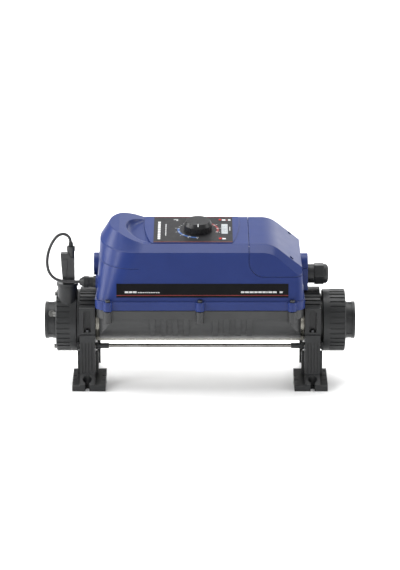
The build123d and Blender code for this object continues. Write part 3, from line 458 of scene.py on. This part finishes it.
scale = {
    "radius": 31.0, "band": 3.2, "cold": (172, 268), "warm": (-18, 58), "tick": 35.2,
    "numbers": [("5", 172), ("10", 196), ("15", 220), ("20", 244), ("25", 268), ("35", -18), ("40", 8),
                ("45", 34)],
    "figure": 4.6, "plain": range(76, 172, 12),
}
# each mark is x, y, width and height, in millimetres on the panel
panelMarks = {
    "white": [(-38, 38, 7, 1.8), (-36, 34.6, 3, 1.8), (37.5, 36.6, 5.6, 4.6), (46.4, 36.6, 4.0, 4.6),
              (37.5, -36.6, 5.6, 4.6), (46.9, 2, 1.0, 15)],
    "red": [(42.2, 36.6, 2.2, 3.0), (33.0, -31.0, 9.0, 1.0)],
    "lineInset": 1.6, "lineShort": 1.2, "lineHigh": 0.9,
}
wordBlocks = {
    "bold": {"x": -64.0, "wide": 4.2, "from": -38.5, "parts": [6, 6, 6.5, 3, 6.5, 5.5, 2.2, 6.5, 6.5, 2.6, 5]},
    "small": {"x": -53.6, "wide": 1.5, "from": -24.0, "parts": [3, 2.4, 3, 2.4, 3, 2, 3, 2.4, 3, 2.4, 3]},
}


def columnOfBlocks(spec, space):
    blocks, y = [], spec["from"]
    for part in spec["parts"]:
        blocks.append(flatBar(spec["x"], y + part / 2, spec["wide"], part))
        y += part + space
    return blocks


def ringPoint(angle, radius):
    return dialFlat.x + radius * cos(radians(angle)), dialFlat.y + radius * sin(radians(angle))


def printPanel():
    white = columnOfBlocks(wordBlocks["bold"], 1.2) + columnOfBlocks(wordBlocks["small"], 1.4)
    for words, angle in scale["numbers"]:
        x, y = ringPoint(angle, scale["radius"])
        white.append(numeral(words, x, y, scale["figure"], radians(angle + 90)))
        x, y = ringPoint(angle, scale["tick"])
        white.append(flatBar(x, y, 2.4, 0.8, radians(angle)))
    for angle in scale["plain"]:
        x, y = ringPoint(angle, scale["radius"])
        white.append(flatBar(x, y, 2.6, 0.7, radians(angle)))
    white += [flatBar(*mark) for mark in panelMarks["white"]]
    finishPrint(white, "panelPrintWhite", "whiteInk", panelPlace @ overInk)
    middle = (labelPlate["left"] + labelPlate["right"]) / 2
    wide = labelPlate["right"] - labelPlate["left"] - panelMarks["lineShort"]
    edge = labelPlate["half"] - panelMarks["lineInset"]
    red = [flatBar(middle, side * edge, wide, panelMarks["lineHigh"]) for side in (-1, 1)]
    red.append(arcBand(dialFlat.x, dialFlat.y, scale["radius"], scale["band"], *scale["warm"]))
    red += [flatBar(*mark) for mark in panelMarks["red"]]
    finishPrint(red, "panelPrintRed", "redInk", panelPlace)
    blue = [arcBand(dialFlat.x, dialFlat.y, scale["radius"], scale["band"], *scale["cold"])]
    finishPrint(blue, "panelPrintBlue", "blueInk", panelPlace)


printPanel()

display = {"figures": "285", "places": [-9.5, -1.0, 9.5], "shift": 2, "point": (3.2, 6.3, 0.8), "sunk": 0.00011}
segments = {"2": "abged", "8": "abcdefg", "5": "afgcd"}
segmentBars = {"a": (0, 3, 3.2, 0.7), "b": (1.8, 1.5, 0.7, 2.6), "c": (1.8, -1.5, 0.7, 2.6),
               "d": (0, -3, 3.2, 0.7), "e": (-1.8, -1.5, 0.7, 2.6), "f": (-1.8, 1.5, 0.7, 2.6),
               "g": (0, 0, 3.2, 0.7)}


def printDisplay():
    bars = []
    windowLow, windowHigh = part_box("display_window")
    x0 = (windowLow.x + windowHigh.x) / 2 / mm
    for figure, y0 in zip(display["figures"], display["places"]):
        for part in segments[figure]:
            across, up, wide, high = segmentBars[part]
            bars.append(flatBar(x0 - up, y0 + display["shift"] + across, high, wide))
    pointX, pointY, pointWide = display["point"]
    bars.append(flatBar(x0 + pointX, pointY, pointWide, pointWide))
    sunk = Matrix.Translation((0, 0, -display["sunk"]))
    finishPrint(bars, "displayFigures", "greyInk", panelPlace @ sunk)


printDisplay()
print("control panel printed")


# print on the long front strip

strip = {
    "lift": 0.00003, "line": {"up": 3.4, "short": 0.4, "high": 0.8},
    "bold": {"parts": (5.6, 5.0, 5.6), "start": 13, "up": 8.4, "high": 2.8, "space": 1.0},
    "small": {"parts": (2.6, 3.2, 3.0, 2.2, 1.6, 3.0, 2.6, 3.0, 2.2, 3.0), "start": 1, "up": 7.8, "high": 1.3,
              "space": 0.8},
    "last": {"parts": (4.6,), "start": 9, "up": 8.4, "high": 2.6, "space": 1.0},
    "right": {"parts": (6.0, 6.0, 2.0, 5.0, 5.6, 5.0, 6.4, 6.0, 5.4), "start": 3.6, "up": 8.4, "high": 2.6,
              "space": 1.0},
}


def rowOfBars(spec, x, bottom, way=1):
    bars = []
    x += way * spec["start"]
    for part in spec["parts"]:
        bars.append(flatBar(x + way * part / 2, bottom + spec["up"], part, spec["high"]))
        x += way * (part + spec["space"])
    return bars, x


def printStrip():
    wall = nodes["front_label"].data.vertices
    low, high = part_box("front_label")
    bottomY = min(v.co.y for v in wall if v.co.z < low.z + 0.2 * mm)
    topY = min(v.co.y for v in wall if v.co.z > high.z - 0.2 * mm)
    lean = atan2(topY - bottomY, high.z - low.z)
    middle = Vector((0, (topY + bottomY) / 2, (low.z + high.z) / 2))
    place = Matrix.Translation(middle) @ Matrix.Rotation(pi / 2 - lean, 4, "X")
    place = place @ Matrix.Translation((0, 0, strip["lift"]))
    half = (high.z - low.z) / 2 / cos(lean) / mm
    left, right = low.x / mm, high.x / mm
    line = strip["line"]
    red = [flatBar((left + right) / 2, -half + line["up"], right - left - line["short"], line["high"])]
    finishPrint(red, "stripPrintRed", "redInk", place)
    bold, x = rowOfBars(strip["bold"], left, -half)
    small = rowOfBars(strip["small"], x, -half)[0]
    last, x = rowOfBars(strip["last"], right, -half, -1)
    words = rowOfBars(strip["right"], x, -half, -1)[0]
    finishPrint(bold + small + last + words, "stripPrintWhite", "whiteInk", place)


printStrip()
print("front strip printed")


# tapered rubber boot where the cable leaves its plug

boot = {"foot": 0.0034, "neck": 0.00262, "tall": 0.0085, "rings": 4, "sunk": 0.0012, "swell": 1.12}


def addBoot():
    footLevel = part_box("flow_switch_plug")[1].z - boot["sunk"]
    x, y = cable["route"][0][:2]
    swell = (boot["swell"], boot["swell"], 1)
    deselectAll()
    bpy.ops.mesh.primitive_cone_add(vertices=32, radius1=boot["foot"], radius2=boot["neck"], depth=boot["tall"],
                                    location=(x, y, footLevel + boot["tall"] / 2))
    piece = bpy.context.active_object
    piece.name = "cableBoot"
    bpy.ops.object.mode_set(mode="EDIT")
    for i in range(1, 2 * boot["rings"]):
        bpy.ops.mesh.select_all(action="SELECT")
        height = footLevel + boot["tall"] * i / (2 * boot["rings"])
        bpy.ops.mesh.bisect(plane_co=(x, y, height), plane_no=(0, 0, 1))
        if i % 2:
            bpy.ops.transform.resize(value=swell, center_override=(x, y, height))
    bpy.ops.object.mode_set(mode="OBJECT")
    bpy.ops.object.shade_smooth_by_angle(angle=radians(50))
    bakePlace(piece)
    setFinish(piece, "sealRubber")
    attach(piece, "heater")
    return piece


bootPiece = addBoot()
print("cable boot added")


# white pointer in the dial's groove

pointer = {"bar": (0, -17.8, 1.3, 12.5), "level": 0.01627}  # level: just under the groove's floor


def addPointer():
    place = Matrix.Translation(dialJoint["pos_m"]) @ panelTurn @ Matrix.Translation((0, 0, pointer["level"]))
    finishPrint([flatBar(*pointer["bar"])], "dialPointer", "whiteInk", place, "dial")


addPointer()
print("dial pointer added")
